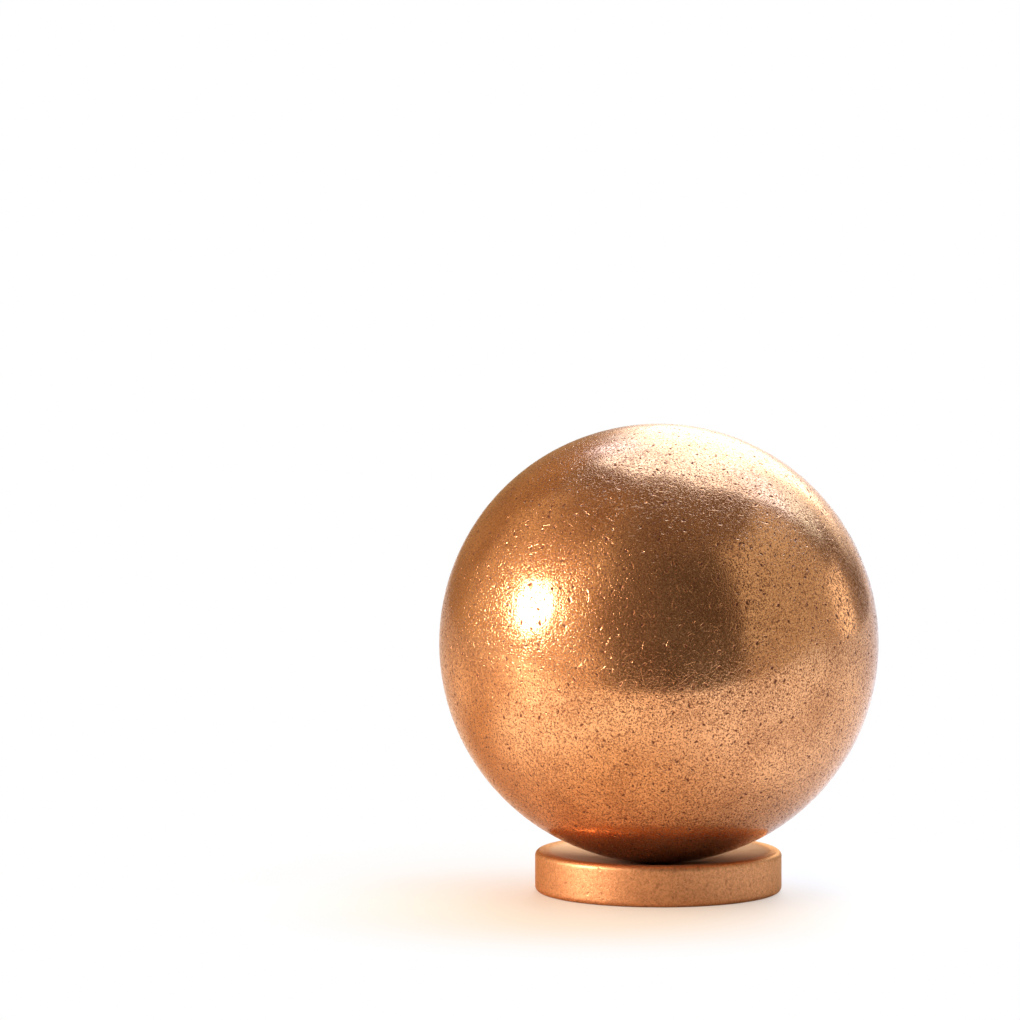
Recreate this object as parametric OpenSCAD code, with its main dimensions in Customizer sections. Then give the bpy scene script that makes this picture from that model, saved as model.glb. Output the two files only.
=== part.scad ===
// A solid copper ball that rests in the shallow dish of a low round stand.
// Both pieces are turned from bar and tumbled, so every edge is softly rounded.
// Z is up, the stand's flat underside lies on Z = 0 and both pieces share the Z axis.

/* [Ball] */
// Diameter of the ball
ball_d = 50.8; // [38.1:0.1:76.2]

/* [Stand] */
// Outside diameter of the stand
stand_d = 28.6; // [24:0.1:36]
// Height of the stand, from its underside to its rim
stand_h = 4.75; // [4:0.05:8]
// Rounding of the stand's outer edge at the rim
top_edge_r = 0.6; // [0.2:0.05:1]
// Rounding of the stand's outer edge at the underside
bottom_edge_r = 0.6; // [0.2:0.05:1]

/* [Dish] */
// Width of the rim, from its outer rounding to the mouth of the dish
rim_w = 0.8; // [0.7:0.05:2]
// Depth of the dish below the rim
dish_depth = 1.35; // [0.8:0.05:2]
// Rounding of the lip where the rim turns down into the dish
lip_r = 2.5; // [0.5:0.1:3]

/* [Fit] */
// Gap left between the ball and the stand where they touch
seat_gap = 0.02; // [0.01:0.01:0.1]

/* [Hidden] */
$fn = 160;

ball_r = ball_d / 2;
stand_r = stand_d / 2;

// The dish is part of a large sphere, given by the width of its mouth and its depth
mouth_r = stand_r - top_edge_r - rim_w;
dish_r = (mouth_r * mouth_r + dish_depth * dish_depth) / (2 * dish_depth);
dish_centre_z = stand_h - dish_depth + dish_r;

// The lip's arc touches the flat rim, and crosses the dish by a hair so that the two arcs
// meet at one clean edge
lip_bite = 0.002;
lip_to_dish_r = dish_r + lip_r - lip_bite;
lip_z = stand_h - lip_r;
lip_x = sqrt(pow(lip_to_dish_r, 2) - pow(dish_centre_z - lip_z, 2));
lip_centre = [lip_x, lip_z];
lip_to_dish = [-lip_x, dish_centre_z - lip_z] / lip_to_dish_r;

// A ball rounder than the dish stands on its lowest point, a flatter one on its lip
ball_z_on_dish = stand_h - dish_depth + seat_gap + ball_r;
ball_z_on_lip = lip_z + sqrt(pow(ball_r + lip_r + seat_gap, 2) - lip_x * lip_x);
ball_z = max(ball_z_on_dish, ball_z_on_lip);

copper = [0.72, 0.44, 0.29];
patinated_copper = [0.66, 0.40, 0.26];

// How far a cut runs past the surface that it opens
cut_past = 0.5;

// Half section of the stand's body, with both outer edges rounded
module blank_profile() {
    translate([0, bottom_edge_r]) square([stand_r, stand_h - top_edge_r - bottom_edge_r]);
    edge_round(top_edge_r, stand_h - top_edge_r);
    edge_round(bottom_edge_r, bottom_edge_r);
}

// One rounded outer edge: a quarter of a circle and the strip between it and the axis
module edge_round(r, centre_z) {
    centre_x = stand_r - r;
    translate([centre_x, centre_z]) circle(r);
    translate([0, centre_z - r]) square([centre_x, 2 * r]);
}

// The dish's sphere, cut off at the axis
module dish_profile() {
    intersection() {
        translate([0, dish_centre_z]) circle(dish_r, $fn = 720);
        square([stand_r, stand_h + cut_past]);
    }
}

// What is turned off the sharp corner between the rim and the dish to round the lip: a wedge
// with its tip at the lip's centre, without the lip's circle
module lip_cut() {
    difference() {
        polygon([
            lip_centre,
            lip_centre + [0, lip_r + cut_past],
            lip_centre + lip_to_dish * (lip_r + cut_past)
        ]);
        translate(lip_centre) circle(lip_r);
    }
}

// Half section of the finished stand
module stand_profile() {
    difference() {
        blank_profile();
        dish_profile();
        lip_cut();
    }
}

// Low round stand: a disc with a shallow dish turned into its top
module stand() {
    color(patinated_copper) rotate_extrude() stand_profile();
}

// Solid ball, resting in the middle of the dish
module ball() {
    color(copper) translate([0, 0, ball_z]) sphere(ball_r);
}

ball();
stand();
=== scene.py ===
"""Tumbled copper ball on its low dished stand: the visual model, its studio and its camera.

The file is laid out as an add-on and run as a script. All sizes are in metres, in the frame of
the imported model: Z is up, the stand's underside lies on Z = 0, and both pieces share the Z axis.
All colours are sRGB hex values.
"""

import math

import bpy
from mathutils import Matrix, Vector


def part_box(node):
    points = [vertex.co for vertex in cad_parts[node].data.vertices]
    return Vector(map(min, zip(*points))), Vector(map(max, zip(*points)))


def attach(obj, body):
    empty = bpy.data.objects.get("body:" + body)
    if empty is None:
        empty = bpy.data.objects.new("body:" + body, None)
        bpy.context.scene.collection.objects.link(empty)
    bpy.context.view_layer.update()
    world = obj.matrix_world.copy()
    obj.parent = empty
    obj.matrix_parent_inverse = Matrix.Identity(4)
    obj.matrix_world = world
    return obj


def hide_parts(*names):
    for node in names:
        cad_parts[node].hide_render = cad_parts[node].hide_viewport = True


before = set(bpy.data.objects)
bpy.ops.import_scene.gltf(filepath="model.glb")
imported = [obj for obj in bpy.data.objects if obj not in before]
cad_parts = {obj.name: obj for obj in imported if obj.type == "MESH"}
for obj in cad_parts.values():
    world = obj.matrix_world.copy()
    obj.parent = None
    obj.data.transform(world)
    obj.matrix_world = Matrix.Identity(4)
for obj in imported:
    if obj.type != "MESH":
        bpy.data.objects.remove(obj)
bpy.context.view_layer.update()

bl_info = {
    "name": "Tumbled Copper Ball",
    "version": (1, 0, 0),
    "blender": (4, 5, 0),
    "location": "3D View > Sidebar > Copper Ball",
    "description": "Adds a tumbled copper ball, its dished stand and a plain studio",
    "category": "Object",
}

MM = 0.001
PER_METRE_TO_MM = 1000.0

ball_low, ball_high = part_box("ball")
_, stand_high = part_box("stand")
BALL_RADIUS = (ball_high[2] - ball_low[2]) / 2
BALL_CENTRE_Z = (ball_high[2] + ball_low[2]) / 2
STAND_RADIUS = stand_high[0]
STAND_HEIGHT = stand_high[2]


# ---- Settings ----


class BallFinish(bpy.types.PropertyGroup):
    """Colours and marks of the ball's tumbled copper."""

    copper_hex: bpy.props.StringProperty(
        name="Copper",
        description="Colour of the copper where tumbling has kept it bright",
        default="#ECAC76",
    )
    film_hex: bpy.props.StringProperty(
        name="Film",
        description="Colour of the thin brown film in the hollows of the grain",
        default="#AC6E42",
    )
    oxide_hex: bpy.props.StringProperty(
        name="Oxide", description="Colour of the oxide left in the bottoms of the marks", default="#70402F"
    )
    edge_hex: bpy.props.StringProperty(
        name="Edge", description="Colour of reflections seen at a glancing angle", default="#F6EADF"
    )
    roughness: bpy.props.FloatProperty(
        name="Roughness",
        description="Roughness of the rubbed copper between the marks",
        default=0.12,
        min=0.0,
        max=1.0,
    )
    mark_size: bpy.props.FloatProperty(
        name="Mark size", description="Size of the marks, as a share of their usual size", default=1.0
    )
    mark_share: bpy.props.FloatProperty(
        name="Mark darkness",
        description="How much of the oxide's colour shows in the marks",
        default=1.0,
        min=0.0,
        max=1.0,
    )
    mark_depth: bpy.props.FloatProperty(
        name="Mark depth", description="Depth of the marks, as a share of their usual depth", default=1.0
    )
    grain_width: bpy.props.FloatProperty(
        name="Grain width", description="Distance from one grain to the next in mm", default=0.17
    )
    grain_share: bpy.props.FloatProperty(
        name="Grain contrast",
        description="How much the film's colour shows in the grain",
        default=0.68,
        min=0.0,
        max=1.0,
    )


class StandFinish(bpy.types.PropertyGroup):
    """Colours and marks of the stand's tumbled copper."""

    copper_hex: bpy.props.StringProperty(
        name="Copper",
        description="Colour of the copper where tumbling has kept it bright",
        default="#DC9F6E",
    )
    film_hex: bpy.props.StringProperty(
        name="Film",
        description="Colour of the thin brown film in the hollows of the grain",
        default="#B67A4E",
    )
    oxide_hex: bpy.props.StringProperty(
        name="Oxide", description="Colour of the oxide left in the bottoms of the marks", default="#7C4C38"
    )
    # The dish is paler and less saturated than the copper round it
    dish_hex: bpy.props.StringProperty(
        name="Dish",
        description="Colour of the dish under the ball, which tumbling hardly reaches",
        default="#D2AC8E",
    )
    edge_hex: bpy.props.StringProperty(
        name="Edge", description="Colour of reflections seen at a glancing angle", default="#D2C0AA"
    )
    roughness: bpy.props.FloatProperty(
        name="Roughness",
        description="Roughness of the rubbed copper between the marks",
        default=0.46,
        min=0.0,
        max=1.0,
    )
    mark_size: bpy.props.FloatProperty(
        name="Mark size", description="Size of the marks, as a share of their usual size", default=1.2
    )
    mark_share: bpy.props.FloatProperty(
        name="Mark darkness",
        description="How much of the oxide's colour shows in the marks",
        default=0.4,
        min=0.0,
        max=1.0,
    )
    mark_depth: bpy.props.FloatProperty(
        name="Mark depth", description="Depth of the marks, as a share of their usual depth", default=0.5
    )
    grain_width: bpy.props.FloatProperty(
        name="Grain width", description="Distance from one grain to the next in mm", default=0.36
    )
    grain_share: bpy.props.FloatProperty(
        name="Grain contrast",
        description="How much the film's colour shows in the grain",
        default=0.4,
        min=0.0,
        max=1.0,
    )


class BallSettings(bpy.types.PropertyGroup):
    """Sizes of the ball and of the wear in its surface."""

    radius: bpy.props.FloatProperty(
        name="Radius", description="Radius of the ball", default=BALL_RADIUS, unit="LENGTH"
    )
    centre_z: bpy.props.FloatProperty(
        name="Centre height",
        description="Height of the ball's centre over the table",
        default=BALL_CENTRE_Z,
        unit="LENGTH",
    )
    panels: bpy.props.IntProperty(
        name="Panels",
        description="Faces along each side of the six square patches that make the ball",
        default=126,
        min=8,
        max=128,
    )
    wave_depth: bpy.props.FloatProperty(
        name="Wave depth",
        description="Depth of the slow waves left by tumbling",
        default=0.025 * MM,
        unit="LENGTH",
    )
    wave_length: bpy.props.FloatProperty(
        name="Wave length",
        description="Distance from one wave to the next",
        default=4.5 * MM,
        unit="LENGTH",
    )
    ding_depth: bpy.props.FloatProperty(
        name="Ding depth",
        description="Depth of the shallow dings left by tumbling",
        default=0.012 * MM,
        unit="LENGTH",
    )
    ding_spacing: bpy.props.FloatProperty(
        name="Ding spacing", description="Distance between the dings", default=2.2 * MM, unit="LENGTH"
    )
    finish: bpy.props.PointerProperty(type=BallFinish)


class StandSettings(bpy.types.PropertyGroup):
    """Sizes of the stand, as in its solid, and of the wear in its surface."""

    radius: bpy.props.FloatProperty(
        name="Radius", description="Outside radius of the stand", default=STAND_RADIUS, unit="LENGTH"
    )
    height: bpy.props.FloatProperty(
        name="Height", description="Height of the stand's rim", default=STAND_HEIGHT, unit="LENGTH"
    )
    edge_radius: bpy.props.FloatProperty(
        name="Edge rounding",
        description="Rounding of the outer edge at the rim and at the underside",
        default=0.6 * MM,
        unit="LENGTH",
    )
    rim_width: bpy.props.FloatProperty(
        name="Rim width",
        description="Width of the rim, from its outer rounding to the mouth of the dish",
        default=0.8 * MM,
        unit="LENGTH",
    )
    dish_depth: bpy.props.FloatProperty(
        name="Dish depth", description="Depth of the dish below the rim", default=1.35 * MM, unit="LENGTH"
    )
    lip_radius: bpy.props.FloatProperty(
        name="Lip rounding",
        description="Rounding where the rim turns down into the dish",
        default=2.5 * MM,
        unit="LENGTH",
    )
    steps_round: bpy.props.IntProperty(
        name="Steps round", description="Faces round the stand", default=400, min=24, max=600
    )
    wave_depth: bpy.props.FloatProperty(
        name="Wave depth",
        description="Depth of the slow waves left by tumbling",
        default=0.02 * MM,
        unit="LENGTH",
    )
    wave_length: bpy.props.FloatProperty(
        name="Wave length",
        description="Distance from one wave to the next",
        default=3.0 * MM,
        unit="LENGTH",
    )
    ding_depth: bpy.props.FloatProperty(
        name="Ding depth",
        description="Depth of the shallow dings in the stand",
        default=0.012 * MM,
        unit="LENGTH",
    )
    ding_spacing: bpy.props.FloatProperty(
        name="Ding spacing", description="Distance between the dings", default=1.6 * MM, unit="LENGTH"
    )
    finish: bpy.props.PointerProperty(type=StandFinish)


class StudioSettings(bpy.types.PropertyGroup):
    """The floor with its painted light, the lamp and the camera."""

    # The table's colours are painted light: warm lamp light at the left and cool window light at the right
    floor_painted_lamp_light_hex: bpy.props.StringProperty(
        name="Table at the left",
        description="Colour of the table top at the lamp's side",
        default="#EED6B6",
    )
    # Painted pool of lamp light on the table
    floor_painted_pool_hex: bpy.props.StringProperty(
        name="Table in the lamp's light",
        description="Colour of the table in the pool of light at the front left",
        default="#FFF8E8",
    )
    # Painted shadow on the table
    floor_painted_shade_hex: bpy.props.StringProperty(
        name="Table in the shade",
        description="Colour of the table in the warm shade at the back left",
        default="#D2AC80",
    )
    # Painted warm glow by the stand, in the white that the camera sees
    floor_painted_glow_hex: bpy.props.StringProperty(
        name="Table by the stand",
        description="Colour that the camera sees beside the stand",
        default="#FFE8D2",
    )
    floor_painted_window_light_hex: bpy.props.StringProperty(
        name="Table at the right",
        description="Colour of the table top at the window's side",
        default="#EEF0F2",
    )
    table_front: bpy.props.FloatProperty(
        name="Table front",
        description="Distance from the ball's axis to the front edge of the table",
        default=97 * MM,
        unit="LENGTH",
    )
    lamp_power: bpy.props.FloatProperty(
        name="Lamp power",
        description="Power of the warm lamp at the left, as the metal mirrors it",
        default=1.9,
        unit="POWER",
    )
    spill_power: bpy.props.FloatProperty(
        name="Spill power",
        description="Power of the warm lamp's soft light on the table",
        default=0.52,
        unit="POWER",
    )
    lamp_hex: bpy.props.StringProperty(
        name="Lamp colour", description="Colour of the warm lamp", default="#FFF2F0"
    )
    overhead_power: bpy.props.FloatProperty(
        name="Overhead power",
        description="Power of the soft light over the table",
        default=0.95,
        unit="POWER",
    )
    focal_length: bpy.props.FloatProperty(
        name="Focal length", description="Focal length of the camera, in millimetres", default=213.4
    )
    camera_distance: bpy.props.FloatProperty(
        name="Camera distance",
        description="Level distance from the ball's axis to the camera",
        default=0.696,
        unit="LENGTH",
    )
    camera_height: bpy.props.FloatProperty(
        name="Camera height",
        description="Height of the camera over the table",
        default=0.0997,
        unit="LENGTH",
    )
    camera_pitch: bpy.props.FloatProperty(
        name="Camera pitch",
        description="How far the camera looks down",
        default=math.radians(4.555),
        subtype="ANGLE",
    )
    camera_yaw: bpy.props.FloatProperty(
        name="Camera yaw",
        description="How far the camera looks past the ball, to its left",
        default=math.radians(1.416),
        subtype="ANGLE",
    )


# ---- Helpers ----


def linear_colour(hex_colour):
    """Linear RGBA of an sRGB hex colour."""
    channels = [int(hex_colour[i : i + 2], 16) / 255 for i in (1, 3, 5)]
    linear = [c / 12.92 if c <= 0.04045 else ((c + 0.055) / 1.055) ** 2.4 for c in channels]
    return (*linear, 1.0)


def add_node(tree, kind, settings=None, inputs=None):
    """Adds a node. An input's value is a socket to link, or a plain value to set."""
    node = tree.nodes.new(kind)
    for name, value in (settings or {}).items():
        setattr(node, name, value)
    for name, value in (inputs or {}).items():
        if isinstance(value, bpy.types.NodeSocket):
            tree.links.new(value, node.inputs[name])
        else:
            node.inputs[name].default_value = value
    return node


def place_in_scene(thing):
    """Links an object to the scene and returns it."""
    bpy.context.scene.collection.objects.link(thing)
    return thing


def new_geometry_tree(name, sizes, with_geometry):
    """Geometry tree with named float inputs, an integer Steps, a Material and one output."""
    tree = bpy.data.node_groups.new(name, "GeometryNodeTree")
    new_socket = tree.interface.new_socket
    new_socket(name="Geometry", in_out="OUTPUT", socket_type="NodeSocketGeometry")
    if with_geometry:
        new_socket(name="Geometry", in_out="INPUT", socket_type="NodeSocketGeometry")
    for size in sizes:
        new_socket(name=size, in_out="INPUT", socket_type="NodeSocketFloat")
    new_socket(name="Steps", in_out="INPUT", socket_type="NodeSocketInt")
    new_socket(name="Material", in_out="INPUT", socket_type="NodeSocketMaterial")
    return tree


def run_tree(source, tree, values, piece_name):
    """Runs a geometry tree on an object and returns the result as a plain mesh object."""
    modifier = source.modifiers.new(tree.name, "NODES")
    modifier.node_group = tree
    for item in tree.interface.items_tree:
        if item.in_out == "INPUT" and item.name in values:
            modifier[item.identifier] = values[item.name]
    depsgraph = bpy.context.evaluated_depsgraph_get()
    mesh = bpy.data.meshes.new_from_object(source.evaluated_get(depsgraph))
    mesh.name = piece_name
    source.modifiers.clear()
    bpy.data.objects.remove(source)
    return place_in_scene(bpy.data.objects.new(piece_name, mesh))


# ---- Wear that is deep enough to be shape ----

WEAR_INPUTS = ["Wave depth", "Wave length", "Ding depth", "Ding spacing"]
# The dings' outlines bend by up to 0.4 mm either way, about every 1.4 mm
BENDS_PER_METRE = 700.0
BEND = 0.8 * MM
# A ding's radius as a share of the distance between dings
DING_REACH = 0.55


def add_wear(tree, geometry, group_input):
    """Sinks slow waves and shallow round dings into a surface, never outwards."""
    sizes = group_input.outputs
    position = add_node(tree, "GeometryNodeInputPosition")
    normal = add_node(tree, "GeometryNodeInputNormal")
    wave_scale = add_node(
        tree, "ShaderNodeMath", {"operation": "DIVIDE"}, {0: 1.0, 1: sizes["Wave length"]}
    )
    waves = add_node(
        tree,
        "ShaderNodeTexNoise",
        None,
        {"Vector": position.outputs[0], "Scale": wave_scale.outputs[0], "Detail": 2.0},
    )
    wave_sink = add_node(
        tree, "ShaderNodeMath", {"operation": "MULTIPLY"}, {0: waves.outputs["Fac"], 1: sizes["Wave depth"]}
    )
    # The dings' outlines are bent a little, so that none is a perfect circle
    bend = add_node(
        tree,
        "ShaderNodeTexNoise",
        None,
        {"Vector": position.outputs[0], "Scale": BENDS_PER_METRE, "Detail": 1.0},
    )
    bent_position = add_node(
        tree,
        "ShaderNodeVectorMath",
        {"operation": "MULTIPLY_ADD"},
        {0: bend.outputs["Color"], 1: (BEND, BEND, BEND), 2: position.outputs[0]},
    )
    ding_scale = add_node(
        tree, "ShaderNodeMath", {"operation": "DIVIDE"}, {0: 1.0, 1: sizes["Ding spacing"]}
    )
    cells = add_node(
        tree,
        "ShaderNodeTexVoronoi",
        None,
        {"Vector": bent_position.outputs[0], "Scale": ding_scale.outputs[0]},
    )
    ding_shape = add_node(
        tree,
        "ShaderNodeMapRange",
        {"interpolation_type": "SMOOTHERSTEP"},
        {"Value": cells.outputs["Distance"], "From Max": DING_REACH, "To Min": 1.0, "To Max": 0.0},
    )
    total_sink = add_node(
        tree,
        "ShaderNodeMath",
        {"operation": "MULTIPLY_ADD"},
        {0: ding_shape.outputs[0], 1: sizes["Ding depth"], 2: wave_sink.outputs[0]},
    )
    inwards = add_node(
        tree,
        "ShaderNodeVectorMath",
        {"operation": "SCALE"},
        {0: normal.outputs[0], "Scale": total_sink.outputs[0]},
    )
    offset = add_node(
        tree,
        "ShaderNodeVectorMath",
        {"operation": "MULTIPLY"},
        {0: inwards.outputs[0], 1: (-1.0, -1.0, -1.0)},
    )
    return add_node(
        tree, "GeometryNodeSetPosition", None, {"Geometry": geometry, "Offset": offset.outputs[0]}
    )


def add_ending(tree, geometry, group_input):
    """Smooth shading, real geometry and the material, which every tree here ends in."""
    smooth = add_node(tree, "GeometryNodeSetShadeSmooth", None, {"Geometry": geometry})
    real = add_node(tree, "GeometryNodeRealizeInstances", None, {0: smooth.outputs[0]})
    finished = add_node(
        tree,
        "GeometryNodeSetMaterial",
        None,
        {"Geometry": real.outputs[0], "Material": group_input.outputs["Material"]},
    )
    add_node(tree, "NodeGroupOutput", None, {0: finished.outputs[0]})


# ---- Tumbled copper ----

# The marks that the stone chips leave, from the finest to the largest, all in mm at mark size 1.
# Winding lines: distance apart, width, depth, share of oxide and seed
FINE_LINES = (0.21, 0.1, 0.005, 0.72, 2.3)
# Short marks: name, distance apart, length, width, depth, share of oxide, seed,
# and whether the outline is ragged
MARKS = [
    ("nicks", 0.4, 0.38, 0.14, 0.009, 1.0, 5.7, True),
    ("pits", 0.8, 0.56, 0.2, 0.016, 1.0, 11.9, True),
    ("dents", 2.2, 0.85, 0.45, 0.04, 1.0, 23.5, True),
    ("scratches", 3.1, 2.8, 0.14, 0.014, 0.4, 31.1, False),
]
# A ragged outline is pushed about by some 0.05 mm, four times in each mm
RAGGED_PER_MM = 4.0
RAGGED = 0.2
# How far a mark's shape has to rise before oxide stays in it
OXIDE_START = 0.3
OXIDE_ROUGHNESS = 0.5
# Each mark is 0.5 to 1.1 of its full size, bends aside by up to 0.9 of a quarter of its length
# at the tips, and has its full depth out to a quarter of the way
MARK_SIZES = (0.5, 1.1)
MARK_BEND = 0.9
MARK_FLOOR = 0.25
# The winding lines run where a noise crosses its middle. It has this share of a wave in each
# pitch, and climbs by about 0.8 of its scale for each millimetre.
NOISE_MIDDLE = 0.5
WAVES_PER_PITCH = 0.75
NOISE_CLIMB = 0.8
# The values of a second noise between which a line fades in, which breaks it into short lengths
LINE_BREAKS = (0.44, 0.56)
# Copper's own grain is some hundredths of a millimetre wide, too fine to show, so it is drawn as
# coarse as each finish's grain width. Depths in mm of that grain and of the waves that are too
# small for the mesh, 1.1 mm apart.
GRAIN_DEPTH = 0.006
RIPPLES_PER_MM = 0.9
RIPPLE_DEPTH = 0.010
# The film is thicker in patches about 6 mm across and in the grain's hollows: how strongly the
# patches count, and the sum of the two at which the film starts and is whole
PATCHES_PER_MM = 0.16
PATCH_WEIGHT = 0.5
FILM_START = 0.86
FILM_WHOLE = 0.64
# The film scatters a little light, so copper that mirrors only copper stays brown, not red
METAL_SHARE = 0.93
# The dish's paler colour starts this far outside its mouth and is whole this far inside, in mm
DULL_START = 0.2
DULL_WHOLE = 0.8
# Between the stand's underside and its dish, whose floor is 3.4 mm up, in mm
UNDER_DISH_Z = 2.0


def add_marks(tree, point, normal, spacing, length, width, seed):
    """Short bent marks at random angles along the surface, 1 in the middle of each, in mm."""
    seeded = add_node(tree, "ShaderNodeVectorMath", {"operation": "ADD"}, {0: point, 1: (seed, seed, seed)})
    cells = add_node(
        tree, "ShaderNodeTexVoronoi", None, {"Vector": seeded.outputs[0], "Scale": 1 / spacing}
    )
    local = add_node(
        tree,
        "ShaderNodeVectorMath",
        {"operation": "SUBTRACT"},
        {0: seeded.outputs[0], 1: cells.outputs["Position"]},
    )
    # Each cell's own random colour turns its mark, bends it and sets its size
    any_way = add_node(
        tree,
        "ShaderNodeVectorMath",
        {"operation": "SUBTRACT"},
        {0: cells.outputs["Color"], 1: (0.5, 0.5, 0.5)},
    )
    side_way = add_node(
        tree, "ShaderNodeVectorMath", {"operation": "CROSS_PRODUCT"}, {0: normal, 1: any_way.outputs[0]}
    )
    side_way = add_node(tree, "ShaderNodeVectorMath", {"operation": "NORMALIZE"}, {0: side_way.outputs[0]})
    long_way = add_node(
        tree, "ShaderNodeVectorMath", {"operation": "CROSS_PRODUCT"}, {0: normal, 1: side_way.outputs[0]}
    )
    across = add_node(
        tree,
        "ShaderNodeVectorMath",
        {"operation": "DOT_PRODUCT"},
        {0: local.outputs[0], 1: side_way.outputs[0]},
    )
    along = add_node(
        tree,
        "ShaderNodeVectorMath",
        {"operation": "DOT_PRODUCT"},
        {0: local.outputs[0], 1: long_way.outputs[0]},
    )
    chance = add_node(tree, "ShaderNodeSeparateColor", None, {"Color": cells.outputs["Color"]})
    bend = add_node(
        tree,
        "ShaderNodeMapRange",
        None,
        {"Value": chance.outputs[1], "To Min": -MARK_BEND / length, "To Max": MARK_BEND / length},
    )
    along_squared = add_node(
        tree,
        "ShaderNodeMath",
        {"operation": "MULTIPLY"},
        {0: along.outputs["Value"], 1: along.outputs["Value"]},
    )
    bent_across = add_node(
        tree,
        "ShaderNodeMath",
        {"operation": "MULTIPLY_ADD"},
        {0: along_squared.outputs[0], 1: bend.outputs[0], 2: across.outputs["Value"]},
    )
    # A mark is an ellipse in these two lengths, each as a share of the mark's own
    shares = add_node(
        tree, "ShaderNodeCombineXYZ", None, {"X": bent_across.outputs[0], "Y": along.outputs["Value"]}
    )
    shares = add_node(
        tree,
        "ShaderNodeVectorMath",
        {"operation": "MULTIPLY"},
        {0: shares.outputs[0], 1: (2 / width, 2 / length, 0.0)},
    )
    reach = add_node(tree, "ShaderNodeVectorMath", {"operation": "LENGTH"}, {0: shares.outputs[0]})
    smallest, largest = MARK_SIZES
    size = add_node(
        tree,
        "ShaderNodeMapRange",
        None,
        {"Value": chance.outputs[2], "To Min": smallest, "To Max": largest},
    )
    inside = add_node(
        tree, "ShaderNodeMath", {"operation": "DIVIDE"}, {0: reach.outputs["Value"], 1: size.outputs[0]}
    )
    return add_node(
        tree,
        "ShaderNodeMapRange",
        {"interpolation_type": "SMOOTHSTEP"},
        {"Value": inside.outputs[0], "From Min": MARK_FLOOR, "From Max": 1.0, "To Min": 1.0, "To Max": 0.0},
    ).outputs[0]


def add_squiggles(tree, point, pitch, width, seed):
    """Thin winding lines about pitch mm apart, broken into short lengths, 1 on each line."""
    seeded = add_node(tree, "ShaderNodeVectorMath", {"operation": "ADD"}, {0: point, 1: (seed, seed, seed)})
    field = add_node(
        tree,
        "ShaderNodeTexNoise",
        None,
        {"Vector": seeded.outputs[0], "Scale": WAVES_PER_PITCH / pitch, "Detail": 1.0},
    )
    parts = add_node(tree, "ShaderNodeSeparateColor", None, {"Color": field.outputs["Color"]})
    off_line = add_node(
        tree, "ShaderNodeMath", {"operation": "SUBTRACT"}, {0: parts.outputs[0], 1: NOISE_MIDDLE}
    )
    off_line = add_node(tree, "ShaderNodeMath", {"operation": "ABSOLUTE"}, {0: off_line.outputs[0]})
    line = add_node(
        tree,
        "ShaderNodeMapRange",
        {"interpolation_type": "SMOOTHSTEP"},
        {
            "Value": off_line.outputs[0],
            "From Max": 0.5 * width * NOISE_CLIMB * WAVES_PER_PITCH / pitch,
            "To Min": 1.0,
            "To Max": 0.0,
        },
    )
    fade_start, fade_end = LINE_BREAKS
    breaks = add_node(
        tree,
        "ShaderNodeMapRange",
        {"interpolation_type": "SMOOTHSTEP"},
        {"Value": parts.outputs[1], "From Min": fade_start, "From Max": fade_end},
    )
    return add_node(
        tree, "ShaderNodeMath", {"operation": "MULTIPLY"}, {0: line.outputs[0], 1: breaks.outputs[0]}
    ).outputs[0]


def dull_dish(tree, point, colour, finish, dish_radius):
    """Mix in the paler, less saturated colour of the dish's upper face."""
    parts = add_node(tree, "ShaderNodeSeparateXYZ", None, {0: point}).outputs
    flat_point = add_node(
        tree, "ShaderNodeVectorMath", {"operation": "MULTIPLY"}, {0: point, 1: (1.0, 1.0, 0.0)}
    )
    from_axis = add_node(tree, "ShaderNodeVectorMath", {"operation": "LENGTH"}, {0: flat_point.outputs[0]})
    inside = add_node(
        tree,
        "ShaderNodeMapRange",
        {"interpolation_type": "SMOOTHSTEP"},
        {
            "Value": from_axis.outputs["Value"],
            "From Min": dish_radius + DULL_START,
            "From Max": dish_radius - DULL_WHOLE,
        },
    )
    upper = add_node(
        tree, "ShaderNodeMath", {"operation": "GREATER_THAN"}, {0: parts["Z"], 1: UNDER_DISH_Z}
    )
    share = add_node(
        tree, "ShaderNodeMath", {"operation": "MULTIPLY"}, {0: inside.outputs[0], 1: upper.outputs[0]}
    )
    return add_node(
        tree,
        "ShaderNodeMix",
        {"data_type": "RGBA"},
        {0: share.outputs[0], 6: colour.outputs[2], 7: linear_colour(finish.dish_hex)},
    )


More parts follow.
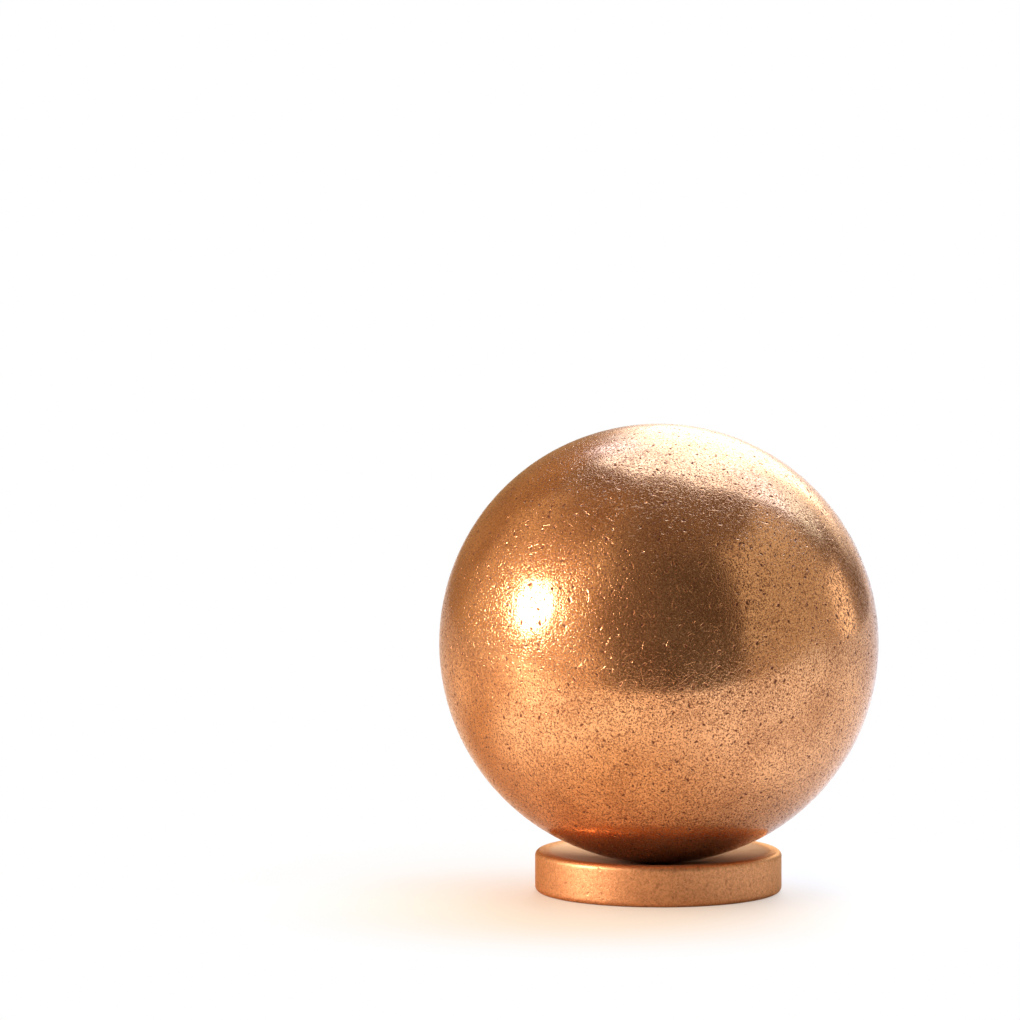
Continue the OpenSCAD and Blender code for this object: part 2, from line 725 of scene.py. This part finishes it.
def tumbled_copper(name, finish, dish_radius=0.0):
    """Solid copper, turned and then tumbled in stone chips.

    Tumbling leaves a satin gloss that still mirrors the room, with fine pits, short strokes at
    every angle and a thin brown film. Reflections stay readable but their edges break up.
    Inside dish_radius, where one is given, the upper face is paler and less saturated.
    """
    material = bpy.data.materials.new(name)
    material.use_nodes = True
    tree = material.node_tree
    shader = tree.nodes["Principled BSDF"]
    shader.inputs["Metallic"].default_value = METAL_SHARE
    shader.inputs["Specular Tint"].default_value = linear_colour(finish.edge_hex)
    texture_point = add_node(tree, "ShaderNodeTexCoord")
    point = add_node(
        tree,
        "ShaderNodeVectorMath",
        {"operation": "SCALE"},
        {0: texture_point.outputs["Object"], "Scale": PER_METRE_TO_MM},
    ).outputs[0]
    normal = add_node(tree, "ShaderNodeNewGeometry").outputs["Normal"]

    wobble = add_node(
        tree, "ShaderNodeTexNoise", None, {"Vector": point, "Scale": RAGGED_PER_MM, "Detail": 1.0}
    )
    ragged_point = add_node(
        tree,
        "ShaderNodeVectorMath",
        {"operation": "MULTIPLY_ADD"},
        {0: wobble.outputs["Color"], 1: (RAGGED, RAGGED, RAGGED), 2: point},
    ).outputs[0]

    # Each mark's shape, its depth in mm and its share of oxide
    size = finish.mark_size
    pitch, width, depth, oxide_share, seed = FINE_LINES
    lines = add_squiggles(tree, ragged_point, pitch * size, width * size, seed)
    marks = [(lines, depth, oxide_share)]
    for _, pitch, length, width, depth, oxide_share, seed, ragged in MARKS:
        where = ragged_point if ragged else point
        sizes = (pitch * size, length * size, width * size)
        marks.append((add_marks(tree, where, normal, *sizes, seed), depth, oxide_share))

    # Soft grain, then waves too small for the mesh
    grain = add_node(
        tree,
        "ShaderNodeTexNoise",
        None,
        {"Vector": point, "Scale": 1.0 / finish.grain_width, "Detail": 2.0},
    )
    height = add_node(
        tree, "ShaderNodeMath", {"operation": "MULTIPLY"}, {0: grain.outputs["Fac"], 1: GRAIN_DEPTH}
    ).outputs[0]
    ripple = add_node(
        tree, "ShaderNodeTexNoise", None, {"Vector": point, "Scale": RIPPLES_PER_MM, "Detail": 1.0}
    )
    height = add_node(
        tree,
        "ShaderNodeMath",
        {"operation": "MULTIPLY_ADD"},
        {0: ripple.outputs["Fac"], 1: RIPPLE_DEPTH, 2: height},
    ).outputs[0]
    oxide = None
    for shape, depth, share in marks:
        height = add_node(
            tree,
            "ShaderNodeMath",
            {"operation": "MULTIPLY_ADD"},
            {0: shape, 1: -depth * finish.mark_depth, 2: height},
        ).outputs[0]
        part = add_node(
            tree,
            "ShaderNodeMapRange",
            {"interpolation_type": "SMOOTHSTEP"},
            {"Value": shape, "From Min": OXIDE_START, "To Max": share * finish.mark_share},
        ).outputs[0]
        if oxide is None:
            oxide = part
        else:
            oxide = add_node(
                tree, "ShaderNodeMath", {"operation": "MAXIMUM"}, {0: oxide, 1: part}
            ).outputs[0]
    bump = add_node(tree, "ShaderNodeBump", None, {"Strength": 1.0, "Distance": MM, "Height": height})

    film = add_node(
        tree, "ShaderNodeTexNoise", None, {"Vector": point, "Scale": PATCHES_PER_MM, "Detail": 4.0}
    )
    valleys = add_node(
        tree,
        "ShaderNodeMath",
        {"operation": "MULTIPLY_ADD"},
        {0: film.outputs["Fac"], 1: PATCH_WEIGHT, 2: grain.outputs["Fac"]},
    )
    film_share = add_node(
        tree,
        "ShaderNodeMapRange",
        {"interpolation_type": "SMOOTHSTEP"},
        {
            "Value": valleys.outputs[0],
            "From Min": FILM_START,
            "From Max": FILM_WHOLE,
            "To Max": finish.grain_share,
        },
    )
    metal_colour = add_node(
        tree,
        "ShaderNodeMix",
        {"data_type": "RGBA"},
        {0: film_share.outputs[0], 6: linear_colour(finish.copper_hex), 7: linear_colour(finish.film_hex)},
    )
    colour = add_node(
        tree,
        "ShaderNodeMix",
        {"data_type": "RGBA"},
        {0: oxide, 6: metal_colour.outputs[2], 7: linear_colour(finish.oxide_hex)},
    )
    if dish_radius > 0.0:
        colour = dull_dish(tree, point, colour, finish, dish_radius * PER_METRE_TO_MM)
    roughness = add_node(
        tree,
        "ShaderNodeMapRange",
        None,
        {"Value": oxide, "To Min": finish.roughness, "To Max": OXIDE_ROUGHNESS},
    )
    tree.links.new(colour.outputs[2], shader.inputs["Base Color"])
    tree.links.new(roughness.outputs[0], shader.inputs["Roughness"])
    tree.links.new(bump.outputs[0], shader.inputs["Normal"])
    return material


# ---- Ball ----


def ball_tree():
    """A cube's six square patches blown up to a sphere, so that no pole shows, then worn."""
    tree = new_geometry_tree("Tumbled ball", ["Radius", "Centre height", *WEAR_INPUTS], False)
    group_input = add_node(tree, "NodeGroupInput")
    cube = add_node(tree, "GeometryNodeMeshCube", None, {"Size": (2.0, 2.0, 2.0)})
    for side in ("Vertices X", "Vertices Y", "Vertices Z"):
        tree.links.new(group_input.outputs["Steps"], cube.inputs[side])
    # The tangent spaces the rows at equal angles, so the faces come out nearly the same size
    position = add_node(tree, "GeometryNodeInputPosition")
    angles = add_node(
        tree, "ShaderNodeVectorMath", {"operation": "SCALE"}, {0: position.outputs[0], "Scale": math.pi / 4}
    )
    even = add_node(tree, "ShaderNodeVectorMath", {"operation": "TANGENT"}, {0: angles.outputs[0]})
    outwards = add_node(tree, "ShaderNodeVectorMath", {"operation": "NORMALIZE"}, {0: even.outputs[0]})
    on_sphere = add_node(
        tree,
        "ShaderNodeVectorMath",
        {"operation": "SCALE"},
        {0: outwards.outputs[0], "Scale": group_input.outputs["Radius"]},
    )
    centre = add_node(tree, "ShaderNodeCombineXYZ", None, {"Z": group_input.outputs["Centre height"]})
    in_place = add_node(
        tree, "ShaderNodeVectorMath", {"operation": "ADD"}, {0: on_sphere.outputs[0], 1: centre.outputs[0]}
    )
    sphere = add_node(
        tree,
        "GeometryNodeSetPosition",
        None,
        {"Geometry": cube.outputs["Mesh"], "Position": in_place.outputs[0]},
    )
    worn = add_wear(tree, sphere.outputs[0], group_input)
    add_ending(tree, worn.outputs[0], group_input)
    return tree


class COPPERBALL_OT_add_ball(bpy.types.Operator):
    """Add the tumbled copper ball"""

    bl_idname = "copperball.add_ball"
    bl_label = "Add Ball"

    def execute(self, context):
        ball = context.scene.copper_ball
        source = place_in_scene(bpy.data.objects.new("ball_source", bpy.data.meshes.new("ball_source")))
        values = {
            "Radius": ball.radius,
            "Centre height": ball.centre_z,
            "Wave depth": ball.wave_depth,
            "Wave length": ball.wave_length,
            "Ding depth": ball.ding_depth,
            "Ding spacing": ball.ding_spacing,
            "Steps": ball.panels + 1,
            "Material": tumbled_copper("tumbled copper", ball.finish),
        }
        piece = run_tree(source, ball_tree(), values, "copper_ball")
        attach(piece, "root")
        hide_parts("ball")
        return {"FINISHED"}


# ---- Stand ----


def arc_points(centre, radius, start, end, steps):
    """Points (x, z) along an arc, both ends included. Angles are in radians from the x axis."""
    turn = (end - start) / steps
    return [
        (centre[0] + radius * math.cos(start + turn * i), centre[1] + radius * math.sin(start + turn * i))
        for i in range(steps + 1)
    ]


# Steps along each part of the stand's section
DISH_STEPS = 40
LIP_STEPS = 4
EDGE_STEPS = 8
SIDE_STEPS = 14
UNDERSIDE_STEPS = 16


def dish_mouth(stand):
    """Radius of the dish's mouth, before the lip rounds it."""
    return stand.radius - stand.edge_radius - stand.rim_width


def stand_section(stand):
    """Half section of the stand as (x, z) points, from the dish's middle round to the axis."""
    dish_radius = (dish_mouth(stand) ** 2 + stand.dish_depth**2) / (2 * stand.dish_depth)
    dish_centre = (0.0, stand.height - stand.dish_depth + dish_radius)
    lip_z = stand.height - stand.lip_radius
    lip_reach = dish_radius + stand.lip_radius
    lip_x = math.sqrt(lip_reach**2 - (dish_centre[1] - lip_z) ** 2)
    slope = math.asin(lip_x / lip_reach)
    edge_x = stand.radius - stand.edge_radius
    quarter = math.pi / 2
    down = -quarter
    section = arc_points(dish_centre, dish_radius, down, down + slope, DISH_STEPS)
    lip = arc_points((lip_x, lip_z), stand.lip_radius, quarter + slope, quarter, LIP_STEPS)
    section += lip[1:]
    side_top = stand.height - stand.edge_radius
    section += arc_points((edge_x, side_top), stand.edge_radius, quarter, 0.0, EDGE_STEPS)
    side_fall = (side_top - stand.edge_radius) / SIDE_STEPS
    section += [(stand.radius, side_top - side_fall * i) for i in range(1, SIDE_STEPS)]
    section += arc_points((edge_x, stand.edge_radius), stand.edge_radius, 0.0, down, EDGE_STEPS)
    section += [(edge_x * (1 - i / UNDERSIDE_STEPS), 0.0) for i in range(1, UNDERSIDE_STEPS + 1)]
    return section


def section_curve(section):
    """The half section as an open curve object, its x as X and its z as Y."""
    curve = bpy.data.curves.new("stand_section", "CURVE")
    curve.dimensions = "3D"
    spline = curve.splines.new("POLY")
    spline.points.add(len(section) - 1)
    for point, (x, z) in zip(spline.points, section):
        point.co = (x, z, 0.0, 1.0)
    return place_in_scene(bpy.data.objects.new("stand_section", curve))


def lathe_tree():
    """Turns a half section about Z, as on a lathe, and wears the surface."""
    tree = new_geometry_tree("Turned stand", ["Radius", *WEAR_INPUTS], True)
    group_input = add_node(tree, "NodeGroupInput")
    path = add_node(
        tree,
        "GeometryNodeCurvePrimitiveCircle",
        None,
        {"Resolution": group_input.outputs["Steps"], "Radius": group_input.outputs["Radius"]},
    )
    # The section is swept along the circle, which carries its point at X = Radius
    back = add_node(
        tree, "ShaderNodeMath", {"operation": "MULTIPLY"}, {0: group_input.outputs["Radius"], 1: -1.0}
    )
    shift = add_node(tree, "ShaderNodeCombineXYZ", None, {"X": back.outputs[0]})
    section = add_node(
        tree,
        "GeometryNodeTransform",
        None,
        {
            "Geometry": group_input.outputs["Geometry"],
            "Translation": shift.outputs[0],
            "Scale": (1.0, -1.0, 1.0),
        },
    )
    turned = add_node(
        tree,
        "GeometryNodeCurveToMesh",
        None,
        {"Curve": path.outputs[0], "Profile Curve": section.outputs[0]},
    )
    closed = add_node(
        tree, "GeometryNodeMergeByDistance", None, {"Geometry": turned.outputs[0], "Distance": 1e-7}
    )
    worn = add_wear(tree, closed.outputs[0], group_input)
    add_ending(tree, worn.outputs[0], group_input)
    return tree


class COPPERBALL_OT_add_stand(bpy.types.Operator):
    """Add the low dished stand"""

    bl_idname = "copperball.add_stand"
    bl_label = "Add Stand"

    def execute(self, context):
        stand = context.scene.copper_stand
        values = {
            "Radius": stand.radius,
            "Wave depth": stand.wave_depth,
            "Wave length": stand.wave_length,
            "Ding depth": stand.ding_depth,
            "Ding spacing": stand.ding_spacing,
            "Steps": stand.steps_round,
            "Material": tumbled_copper("tumbled copper of the stand", stand.finish, dish_mouth(stand)),
        }
        source = section_curve(stand_section(stand))
        piece = run_tree(source, lathe_tree(), values, "copper_stand")
        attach(piece, "root")
        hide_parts("stand")
        return {"FINISHED"}


# ---- Studio ----

# What stands round the table, as the metal sees it. Each patch has a name, its azimuths and
# elevations in degrees, how soft its edge is, its colour and its strength. Azimuth 0 is behind
# the ball and 90 is at its right.
ROOM_HEX = "#73665A"
ROOM_PATCHES = [
    ("dark right of the camera", (139, 200), (-30, 50), 6, "#5A534B", 1.0),
    ("pale ceiling", (-200, 200), (58, 120), 12, "#7E6E5E", 1.0),
    ("pale ceiling at the left", (-138, -60), (50, 80), 14, "#A08668", 1.0),
    ("right wall", (64, 133), (-20, 52), 2, "#CAC5BA", 1.2),
    ("wide glow round the lamp", (-147, -47), (-30, 52), 16, "#ECD4B0", 1.06),
    ("close glow round the lamp", (-134, -78), (-8, 42), 12, "#FFE8C8", 1.02),
    ("halo round the lamp", (-117, -102), (8, 28), 9, "#FFF2EA", 2.4),
    ("warm light low at the left", (-150, -70), (-22, 4), 7, "#FFE6CC", 1.12),
    ("brown back left", (-52, -2), (-20, 46), 4, "#BC9C6E", 1.0),
    ("window, top", (-28, 61), (50, 76), 1, "#B4D2FF", 5.1),
    ("window, middle", (-19, 58), (36, 52), 1.5, "#A8C6FF", 6.3),
    ("window, lower", (-9, 54), (25, 38), 3, "#B8DAFF", 3.4),
    ("window, sill", (0, 37), (10, 27), 3, "#DDEAF0", 1.9),
    ("sky in the window", (-3, 28), (14, 48), 4, "#F0FAFF", 6.0),
    ("bright gap beside the window", (52, 70), (-12, 18), 2, "#F4F4F2", 1.8),
    ("pale wall under the window", (-2, 27), (-12, 10), 3, "#FAFAFA", 1.2),
]


def add_patch(tree, azimuth, elevation, behind, patch):
    """Lays one soft-edged patch over the colour behind it."""
    name, azimuths, elevations, soft, hex_colour, strength = patch
    bands = []
    for angle, (low, high) in ((azimuth, azimuths), (elevation, elevations)):
        for edge, rising in ((low, True), (high, False)):
            band = add_node(
                tree,
                "ShaderNodeMapRange",
                {"interpolation_type": "SMOOTHSTEP"},
                {
                    "Value": angle,
                    "From Min": math.radians(edge - soft),
                    "From Max": math.radians(edge + soft),
                    "To Min": 0.0 if rising else 1.0,
                    "To Max": 1.0 if rising else 0.0,
                },
            )
            bands.append(band.outputs[0])
    share = bands[0]
    for band in bands[1:]:
        share = add_node(tree, "ShaderNodeMath", {"operation": "MULTIPLY"}, {0: share, 1: band}).outputs[0]
    colour = [strength * channel for channel in linear_colour(hex_colour)[:3]]
    laid = add_node(
        tree,
        "ShaderNodeMix",
        {"data_type": "RGBA", "label": name},
        {0: share, 6: behind, 7: (*colour, 1.0)},
    )
    return laid.outputs[2]


def studio_world():
    """A window behind, a warm left, a dark room in front, and white where the camera looks."""
    world = bpy.data.worlds.new("plain studio")
    world.use_nodes = True
    tree = world.node_tree
    tree.nodes.clear()
    direction = add_node(tree, "ShaderNodeTexCoord")
    parts = add_node(tree, "ShaderNodeSeparateXYZ", None, {0: direction.outputs["Generated"]}).outputs
    azimuth = add_node(
        tree, "ShaderNodeMath", {"operation": "ARCTAN2"}, {0: parts["X"], 1: parts["Y"]}
    ).outputs[0]
    elevation = add_node(tree, "ShaderNodeMath", {"operation": "ARCSINE"}, {0: parts["Z"]}).outputs[0]
    surround = linear_colour(ROOM_HEX)
    for patch in ROOM_PATCHES:
        surround = add_patch(tree, azimuth, elevation, surround, patch)
    room = add_node(tree, "ShaderNodeBackground", None, {"Color": surround, "Strength": 1.0})
    white = add_node(tree, "ShaderNodeBackground", None, {"Color": (1.0, 1.0, 1.0, 1.0), "Strength": 1.0})
    # Only the camera sees white: the copper mirrors the room, which gives the ball its look
    light_path = add_node(tree, "ShaderNodeLightPath")
    shown = add_node(
        tree,
        "ShaderNodeMixShader",
        None,
        {0: light_path.outputs["Is Camera Ray"], 1: room.outputs[0], 2: white.outputs[0]},
    )
    add_node(tree, "ShaderNodeOutputWorld", None, {"Surface": shown.outputs[0]})
    bpy.context.scene.world = world


# Round patches of painted light on the table, a painted shadow at the back left and a painted pool of lamp
# light at the front left: the setting with the colour, the centre, and the distances from it at which the
# patch ends and is full
PAINTED_LIGHT_ON_TABLE = [
    ("floor_painted_shade_hex", (-0.047, 0.015, 0.0), 0.055, 0.015),
    ("floor_painted_pool_hex", (-0.045, -0.045, 0.0), 0.06, 0.025),
]
# The table's painted light turns from warm lamp light at the left to cool window light at the right over
# this distance on each side of the ball
TABLE_BLEND = 0.05
# What the camera sees turns from the lit table to plain white over these distances
WHITE_START = -0.03
WHITE_WHOLE = 0.055
# The painted warm glow in the white by the stand: its centre, and the distances where it is full and ends
PAINTED_GLOW_BY_STAND = ((-0.008, -0.014, 0.0), 0.008, 0.04)


def table_top(studio):
    """Matt white table top with painted light: warm lamp light at the left, cool window light at the right,
    a painted shadow at the back left and a painted pool of lamp light at the front left; plain white for
    the camera further out, with a painted warm glow by the stand.
    """
    material = bpy.data.materials.new("matt white table top")
    material.use_nodes = True
    tree = material.node_tree
    shader = tree.nodes["Principled BSDF"]
    shader.inputs["Roughness"].default_value = 0.6
    texture_point = add_node(tree, "ShaderNodeTexCoord").outputs["Object"]
    parts = add_node(tree, "ShaderNodeSeparateXYZ", None, {0: texture_point}).outputs
    # Painted light: warm lamp light at the left, cool window light at the right
    rightness = add_node(
        tree,
        "ShaderNodeMapRange",
        {"interpolation_type": "SMOOTHSTEP"},
        {"Value": parts["X"], "From Min": -TABLE_BLEND, "From Max": TABLE_BLEND},
    )
    colour = add_node(
        tree,
        "ShaderNodeMix",
        {"data_type": "RGBA"},
        {
            0: rightness.outputs[0],
            6: linear_colour(studio.floor_painted_lamp_light_hex),
            7: linear_colour(studio.floor_painted_window_light_hex),
        },
    )
    # Painted shadow at the back left and painted pool of lamp light at the front left
    for setting, centre, end, full in PAINTED_LIGHT_ON_TABLE:
        tint_distance = add_node(
            tree, "ShaderNodeVectorMath", {"operation": "DISTANCE"}, {0: texture_point, 1: centre}
        )
        tint = add_node(
            tree,
            "ShaderNodeMapRange",
            {"interpolation_type": "SMOOTHSTEP"},
            {"Value": tint_distance.outputs["Value"], "From Min": end, "From Max": full},
        )
        colour = add_node(
            tree,
            "ShaderNodeMix",
            {"data_type": "RGBA"},
            {0: tint.outputs[0], 6: colour.outputs[2], 7: linear_colour(getattr(studio, setting))},
        )
    tree.links.new(colour.outputs[2], shader.inputs["Base Color"])
    distance = add_node(tree, "ShaderNodeVectorMath", {"operation": "LENGTH"}, {0: texture_point})
    far = add_node(
        tree,
        "ShaderNodeMapRange",
        {"interpolation_type": "SMOOTHSTEP"},
        {"Value": distance.outputs["Value"], "From Min": WHITE_START, "From Max": WHITE_WHOLE},
    )
    light_path = add_node(tree, "ShaderNodeLightPath")
    share = add_node(
        tree,
        "ShaderNodeMath",
        {"operation": "MULTIPLY"},
        {0: far.outputs[0], 1: light_path.outputs["Is Camera Ray"]},
    )
    # Painted warm glow by the stand, in the white that the camera sees
    near_centre, near_full, near_end = PAINTED_GLOW_BY_STAND
    glow_distance = add_node(
        tree, "ShaderNodeVectorMath", {"operation": "DISTANCE"}, {0: texture_point, 1: near_centre}
    )
    glow = add_node(
        tree,
        "ShaderNodeMapRange",
        {"interpolation_type": "SMOOTHSTEP"},
        {"Value": glow_distance.outputs["Value"], "From Min": near_full, "From Max": near_end},
    )
    white = add_node(
        tree,
        "ShaderNodeMix",
        {"data_type": "RGBA"},
        {0: glow.outputs[0], 6: linear_colour(studio.floor_painted_glow_hex), 7: (1.0, 1.0, 1.0, 1.0)},
    )
    white = add_node(tree, "ShaderNodeEmission", None, {"Color": white.outputs[2]})
    shown = add_node(
        tree, "ShaderNodeMixShader", None, {0: share.outputs[0], 1: shader.outputs[0], 2: white.outputs[0]}
    )
    tree.links.new(shown.outputs[0], tree.nodes["Material Output"].inputs["Surface"])
    return material


# How far the table reaches to each side and to the back
TABLE_SIDE = 3.0
TABLE_BACK = 6.0
# Where the lamp stands as seen from the ball, measured as the room's patches are, and how far off
LAMP_AZIMUTH = math.radians(-110.0)
LAMP_ELEVATION = math.radians(17.5)
LAMP_DISTANCE = 0.4
BULB_WIDTH = 0.13
SHADE_WIDTH = 0.30
OVERHEAD_PLACE = (-0.03, -0.14, 0.34)
OVERHEAD_WIDTH = 0.3
OVERHEAD_HEX = "#FFFAF4"
SENSOR_WIDTH_MM = 36.0
# Nearest and farthest that the camera sees
CLIP = (0.01, 50.0)


class COPPERBALL_OT_add_studio(bpy.types.Operator):
    """Add the table, the studio light and the camera"""

    bl_idname = "copperball.add_studio"
    bl_label = "Add Studio"

    def execute(self, context):
        studio = context.scene.copper_studio
        front = -studio.table_front
        mesh = bpy.data.meshes.new("table_top")
        corners = [
            (-TABLE_SIDE, front, 0.0),
            (TABLE_SIDE, front, 0.0),
            (TABLE_SIDE, TABLE_BACK, 0.0),
            (-TABLE_SIDE, TABLE_BACK, 0.0),
        ]
        mesh.from_pydata(corners, [], [(0, 1, 2, 3)])
        mesh.materials.append(table_top(studio))
        place_in_scene(bpy.data.objects.new("table_top", mesh))
        studio_world()
        self.add_lamp(studio)
        self.add_overhead(studio)
        self.add_camera(context.scene, studio)
        context.scene.view_settings.view_transform = "Standard"
        return {"FINISHED"}

    def add_lamp(self, studio):
        """Warm round lamp at the left, a little above the ball and towards the camera."""
        level = LAMP_DISTANCE * math.cos(LAMP_ELEVATION)
        for name, width, power in (
            ("warm_lamp", BULB_WIDTH, studio.lamp_power), ("warm_spill", SHADE_WIDTH, studio.spill_power)
        ):
            light = bpy.data.lights.new(name, "AREA")
            light.shape = "DISK"
            light.size = width
            light.energy = power
            light.color = linear_colour(studio.lamp_hex)[:3]
            lamp = place_in_scene(bpy.data.objects.new(name, light))
            lamp.location = (
                level * math.sin(LAMP_AZIMUTH),
                level * math.cos(LAMP_AZIMUTH),
                BALL_CENTRE_Z + LAMP_DISTANCE * math.sin(LAMP_ELEVATION),
            )
            lamp.rotation_euler = (math.pi / 2 - LAMP_ELEVATION, 0.0, math.pi - LAMP_AZIMUTH)
            lamp.visible_camera = False
            # The bulb shows in the metal, and its shade softens what falls on the table
            lamp.visible_diffuse = name == "warm_spill"
            lamp.visible_glossy = name == "warm_lamp"

    def add_overhead(self, studio):
        """Soft light over the front of the table, which the metal doesn't mirror."""
        light = bpy.data.lights.new("overhead", "AREA")
        light.shape = "DISK"
        light.size = OVERHEAD_WIDTH
        light.energy = studio.overhead_power
        light.color = linear_colour(OVERHEAD_HEX)[:3]
        lamp = place_in_scene(bpy.data.objects.new("overhead", light))
        lamp.location = OVERHEAD_PLACE
        lamp.visible_camera = False
        lamp.visible_glossy = False

    def add_camera(self, scene, studio):
        """Long lens, a little above the ball, looking past its left side."""
        data = bpy.data.cameras.new("camera")
        data.sensor_width = SENSOR_WIDTH_MM
        data.lens = studio.focal_length
        data.clip_start, data.clip_end = CLIP
        camera = place_in_scene(bpy.data.objects.new("camera", data))
        camera.location = (0.0, -studio.camera_distance, studio.camera_height)
        camera.rotation_euler = (math.pi / 2 - studio.camera_pitch, 0.0, studio.camera_yaw)
        scene.camera = camera


# ---- Panel and registration ----


class COPPERBALL_PT_panel(bpy.types.Panel):
    """Lists the steps in the order in which they run"""

    bl_idname = "COPPERBALL_PT_panel"
    bl_label = "Copper Ball"
    bl_space_type = "VIEW_3D"
    bl_region_type = "UI"
    bl_category = "Copper Ball"

    def draw(self, context):
        for operator in OPERATORS:
            self.layout.operator(operator.bl_idname)


SETTINGS = {"copper_ball": BallSettings, "copper_stand": StandSettings, "copper_studio": StudioSettings}
OPERATORS = [COPPERBALL_OT_add_ball, COPPERBALL_OT_add_stand, COPPERBALL_OT_add_studio]
CLASSES = [BallFinish, StandFinish, *SETTINGS.values(), *OPERATORS, COPPERBALL_PT_panel]


def register():
    for cls in CLASSES:
        bpy.utils.register_class(cls)
    for name, group in SETTINGS.items():
        setattr(bpy.types.Scene, name, bpy.props.PointerProperty(type=group))


def unregister():
    for name in SETTINGS:
        delattr(bpy.types.Scene, name)
    for cls in reversed(CLASSES):
        bpy.utils.unregister_class(cls)


def main():
    register()
    bpy.ops.copperball.add_ball()
    bpy.ops.copperball.add_stand()
    bpy.ops.copperball.add_studio()


if __name__ == "__main__":
    main()
